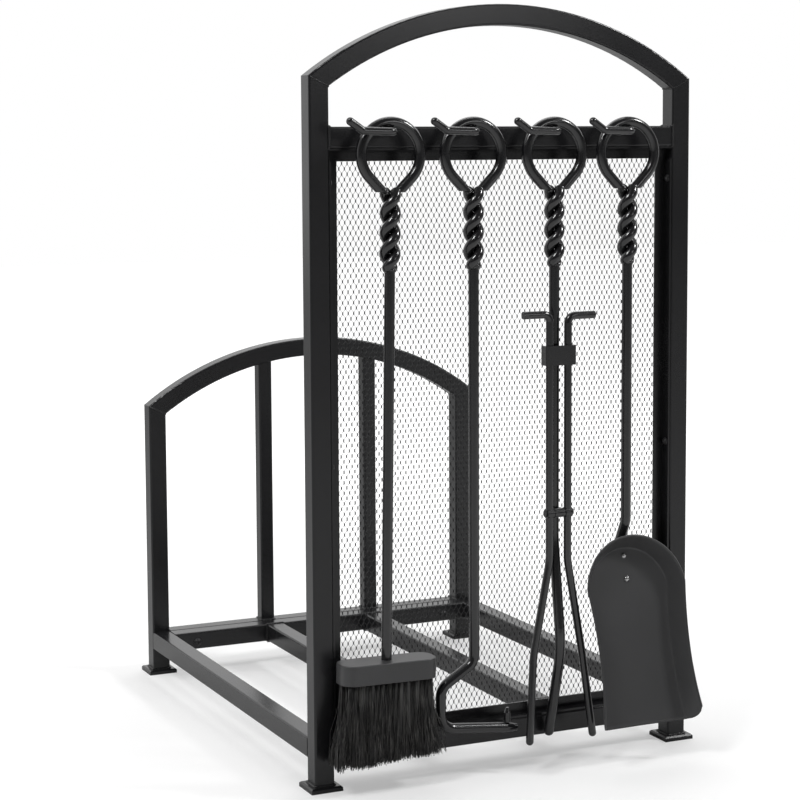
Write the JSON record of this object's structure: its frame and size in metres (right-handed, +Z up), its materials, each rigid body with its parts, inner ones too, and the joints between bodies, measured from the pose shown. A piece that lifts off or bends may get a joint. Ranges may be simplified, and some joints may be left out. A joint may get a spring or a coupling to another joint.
{
  "type": "fireplace tool set",
  "caption": "Black log rack with arched frames and a mesh panel, with brush, poker, tongs and shovel hanging on hooks.",
  "frame": {"origin": "centre of the bounding box's bottom face, on the floor midway between left and right and midway in depth", "axes": "+Z up; -Y out of the front face, where the tools hang; +X to the right seen from the front"},
  "size_m": [0.422, 0.5834, 0.74],
  "materials": {
    "frame_black": "semi-gloss powder coat",
    "tool_black": "semi-gloss powder coat",
    "mesh_black": "matt coat on expanded mesh",
    "fastener_black": "semi-gloss black",
    "rivet_steel": "bare domed steel",
    "brush_block_black": "satin black",
    "bristle_black": "coarse black fibres"
  },
  "bodies": {
    "rack": {"back_arch": "frame_black", "back_base_rail": "frame_black", "back_bolts": "fastener_black", "back_left_foot": "frame_black", "back_left_upright": "frame_black", "back_nuts": "fastener_black", "back_rail": "frame_black", "back_right_foot": "frame_black", "back_right_upright": "frame_black", "brush_hook": "tool_black", "front_arch": "frame_black", "front_base_rail": "frame_black", "front_bolts": "fastener_black", "front_left_foot": "frame_black", "front_left_upright": "frame_black", "front_rail": "frame_black", "front_right_foot": "frame_black", "front_right_upright": "frame_black", "hook_bar": "frame_black", "left_baluster": "frame_black", "left_base_rail": "frame_black", "left_mid_rail": "frame_black", "mesh_bottom_angle": "frame_black", "mesh_left_angle": "frame_black", "mesh_panel": "mesh_black", "mesh_right_angle": "frame_black", "mesh_screws": "fastener_black", "mesh_top_angle": "frame_black", "poker_hook": "tool_black", "right_baluster": "frame_black", "right_base_rail": "frame_black", "right_mid_rail": "frame_black", "shovel_hook": "tool_black", "tongs_hook": "tool_black"},
    "brush": {"brush_block": "brush_block_black", "brush_bristles": "bristle_black", "brush_loop": "tool_black", "brush_rod": "tool_black", "brush_twist": "tool_black"},
    "poker": {"poker_loop": "tool_black", "poker_rod": "tool_black", "poker_spur": "tool_black", "poker_twist": "tool_black"},
    "tongs": {"tongs_centre_leg": "tool_black", "tongs_loop": "tool_black", "tongs_pivot_lug": "tool_black", "tongs_rod": "tool_black", "tongs_twist": "tool_black"},
    "tongs_fork": {"tongs_left_arm": "tool_black", "tongs_right_arm": "tool_black", "tongs_collar": "tool_black", "tongs_pin": "fastener_black"},
    "shovel": {"shovel_loop": "tool_black", "shovel_pan": "tool_black", "shovel_rivets": "rivet_steel", "shovel_rod": "tool_black", "shovel_twist": "tool_black"}
  },
  "joints": [
    {"name": "brush_lift", "type": "slide", "parent": "rack", "child": "brush", "axis": [0, 0, 1], "range_m": [0, 0.04]},
    {"name": "poker_lift", "type": "slide", "parent": "rack", "child": "poker", "axis": [0, 0, 1], "range_m": [0, 0.04]},
    {"name": "tongs_lift", "type": "slide", "parent": "rack", "child": "tongs", "axis": [0, 0, 1], "range_m": [0, 0.04]},
    {"name": "shovel_lift", "type": "slide", "parent": "rack", "child": "shovel", "axis": [0, 0, 1], "range_m": [0, 0.04]},
    {"name": "tongs_squeeze", "type": "hinge", "parent": "tongs", "child": "tongs_fork", "pos_m": [0.041, -0.24579, 0.252], "axis": [1, 0, 0], "range_deg": [-2.5, 7]}
  ]
}
